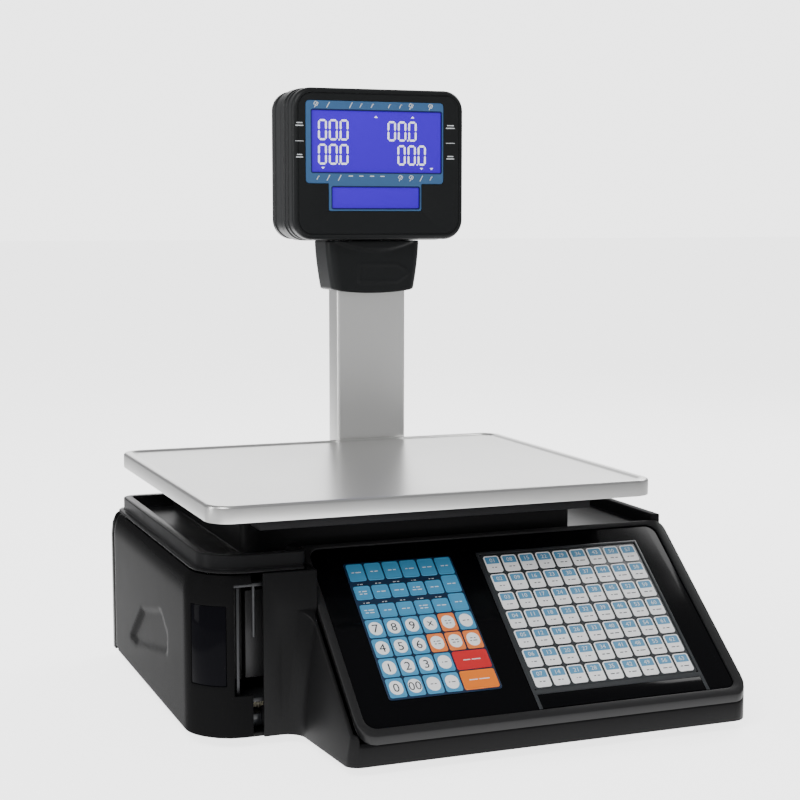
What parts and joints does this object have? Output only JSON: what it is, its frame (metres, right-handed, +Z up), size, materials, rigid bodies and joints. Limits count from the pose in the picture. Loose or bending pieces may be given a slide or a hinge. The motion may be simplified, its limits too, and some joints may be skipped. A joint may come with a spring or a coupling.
{
  "type": "label printing scale",
  "caption": "Retail weighing scale with a steel pan, sloped keypad console, side label printer and a two-sided display head on a pole.",
  "frame": {"origin": "on the floor under the middle of the whole object's bounding box", "axes": "+X to the operator's right, +Y from the keypad console to the pole, +Z up"},
  "size_m": [0.408, 0.4392, 0.5026],
  "materials": {
    "case_black": "black ABS moulding, satin gloss",
    "door_black": "black ABS moulding, polished",
    "bezel_black": "black ABS moulding, satin",
    "head_black": "black ABS moulding, fine satin",
    "panel_gloss": "piano black acrylic overlay",
    "keys_blue": "printed polyester membrane, embossed keys",
    "keys_white": "printed polyester membrane, embossed keys",
    "frame_grey": "dark grey satin paint",
    "stainless": "fine satin stainless sheet",
    "pole_silver": "satin anodised tube",
    "aluminium": "milled",
    "zinc_plate": "zinc plated sheet",
    "motor_can": "dark motor can",
    "carrier_casting": "black painted casting",
    "rubber": "matt black rubber",
    "gear_nylon": "natural nylon",
    "lever_green": "green moulding",
    "rocker_red": "red moulding",
    "spool_grey": "dark grey moulding",
    "label_paper": "wound thermal label paper",
    "circuit_board": "green solder mask",
    "level_vial": "clear green vial",
    "smoked_window": "smoked clear acrylic",
    "display_glass": "clear lens with printed blue border",
    "lcd_violet": "backlit violet-blue LCD"
  },
  "bodies": {
    "base": {"base_plate": "case_black", "lower_case": "case_black", "deck": "case_black", "bubble_level": "level_vial", "load_cell": "aluminium", "load_cell_pedestal": "zinc_plate", "overload_stop_screw": "zinc_plate", "door_hinge_pin": "zinc_plate", "printer_frame": "zinc_plate", "label_sensor": "case_black", "stepper_motor": "motor_can", "peel_bar": "stainless", "console_bezel": "bezel_black", "keypad_panel": "panel_gloss", "function_keypad": "keys_blue", "plu_keypad": "keys_white", "plu_frame": "frame_grey", "plu_card_strip": "panel_gloss", "keypad_board": "circuit_board", "mainboard": "circuit_board", "power_supply": "zinc_plate", "port_panel": "zinc_plate", "power_inlet": "case_black", "switch_frame": "case_black", "lan_port": "zinc_plate", "serial_port": "zinc_plate", "pole": "pole_silver", "pole_bracket": "case_black", "bracket_screw_1": "zinc_plate", "bracket_screw_2": "zinc_plate", "pole_collar": "head_black"},
    "carrier": {"pan_carrier": "carrier_casting", "pan_pad_1": "rubber", "pan_pad_2": "rubber", "pan_pad_3": "rubber", "pan_pad_4": "rubber"},
    "pan": {"weighing_pan": "stainless"},
    "door": {"printer_door": "door_black", "door_window": "smoked_window"},
    "latch": {"door_latch": "case_black"},
    "roll": {"label_roll": "label_paper", "roll_spindle": "spool_grey"},
    "rewind": {"rewind_spool": "spool_grey"},
    "platen": {"platen_roller": "rubber"},
    "pinion": {"motor_pinion": "gear_nylon"},
    "head_arm": {"print_head": "aluminium", "head_release_lever": "lever_green"},
    "rocker": {"power_rocker": "rocker_red"},
    "display": {"head_shell_front": "head_black", "head_shell_rear": "head_black", "display_window_front": "display_glass", "display_window_rear": "display_glass", "lcd_module_front": "lcd_violet", "lcd_module_rear": "lcd_violet", "display_board": "circuit_board", "swivel_stem": "case_black"},
    "foot_fl": {"foot_front_left": "rubber"},
    "foot_fr": {"foot_front_right": "rubber"},
    "foot_rl": {"foot_rear_left": "rubber"},
    "foot_rr": {"foot_rear_right": "rubber"}
  },
  "joints": [
    {"name": "load_deflection", "type": "slide", "parent": "base", "child": "carrier", "axis": [0, 0, 1], "range_m": [-0.001, 0], "stiffness_N_per_m": 150000},
    {"name": "pan_lift_off", "type": "slide", "parent": "carrier", "child": "pan", "axis": [0, 0, 1], "range_m": [0, 0.04]},
    {"name": "door_swing", "type": "hinge", "parent": "base", "child": "door", "pos_m": [-0.1985, 0.157, 0.06], "axis": [0, 0, -1], "range_deg": [0, 100]},
    {"name": "latch_slide", "type": "slide", "parent": "door", "child": "latch", "axis": [-1, 0, 0], "range_m": [0, 0.003], "stiffness_N_per_m": 150},
    {"name": "roll_spin", "type": "hinge", "parent": "base", "child": "roll", "pos_m": [-0.163, 0.072, 0.07], "axis": [0, 0, 1], "continuous": true},
    {"name": "rewind_spin", "type": "hinge", "parent": "base", "child": "rewind", "pos_m": [-0.163, 0.002, 0.07], "axis": [0, 0, 1], "continuous": true},
    {"name": "platen_spin", "type": "hinge", "parent": "base", "child": "platen", "pos_m": [-0.168, -0.096, 0.07], "axis": [0, 0, 1], "continuous": true},
    {"name": "motor_spin", "type": "hinge", "parent": "base", "child": "pinion", "pos_m": [-0.14855, -0.096, 0.024], "axis": [0, 0, 1], "continuous": true},
    {"name": "head_release", "type": "hinge", "parent": "base", "child": "head_arm", "pos_m": [-0.147, -0.072, 0.07], "axis": [0, 0, 1], "range_deg": [0, 12]},
    {"name": "rocker_tilt", "type": "hinge", "parent": "base", "child": "rocker", "pos_m": [-0.088, 0.1743, 0.036], "axis": [1, 0, 0], "range_deg": [-8, 8]},
    {"name": "display_swivel", "type": "hinge", "parent": "base", "child": "display", "pos_m": [0.0425, 0.1876, 0.3655], "axis": [0, 0, 1], "range_deg": [-90, 90]},
    {"name": "foot_fl_turn", "type": "hinge", "parent": "base", "child": "foot_fl", "pos_m": [-0.15, -0.06, 0.01], "axis": [0, 0, 1], "continuous": true},
    {"name": "foot_fr_turn", "type": "hinge", "parent": "base", "child": "foot_fr", "pos_m": [0.15, -0.17, 0.01], "axis": [0, 0, 1], "continuous": true},
    {"name": "foot_rl_turn", "type": "hinge", "parent": "base", "child": "foot_rl", "pos_m": [-0.155, 0.13, 0.01], "axis": [0, 0, 1], "continuous": true},
    {"name": "foot_rr_turn", "type": "hinge", "parent": "base", "child": "foot_rr", "pos_m": [0.16, 0.13, 0.01], "axis": [0, 0, 1], "continuous": true}
  ],
  "couplings": [
    {"joint": "motor_spin", "follows": "platen_spin", "ratio": -1.6667}
  ]
}
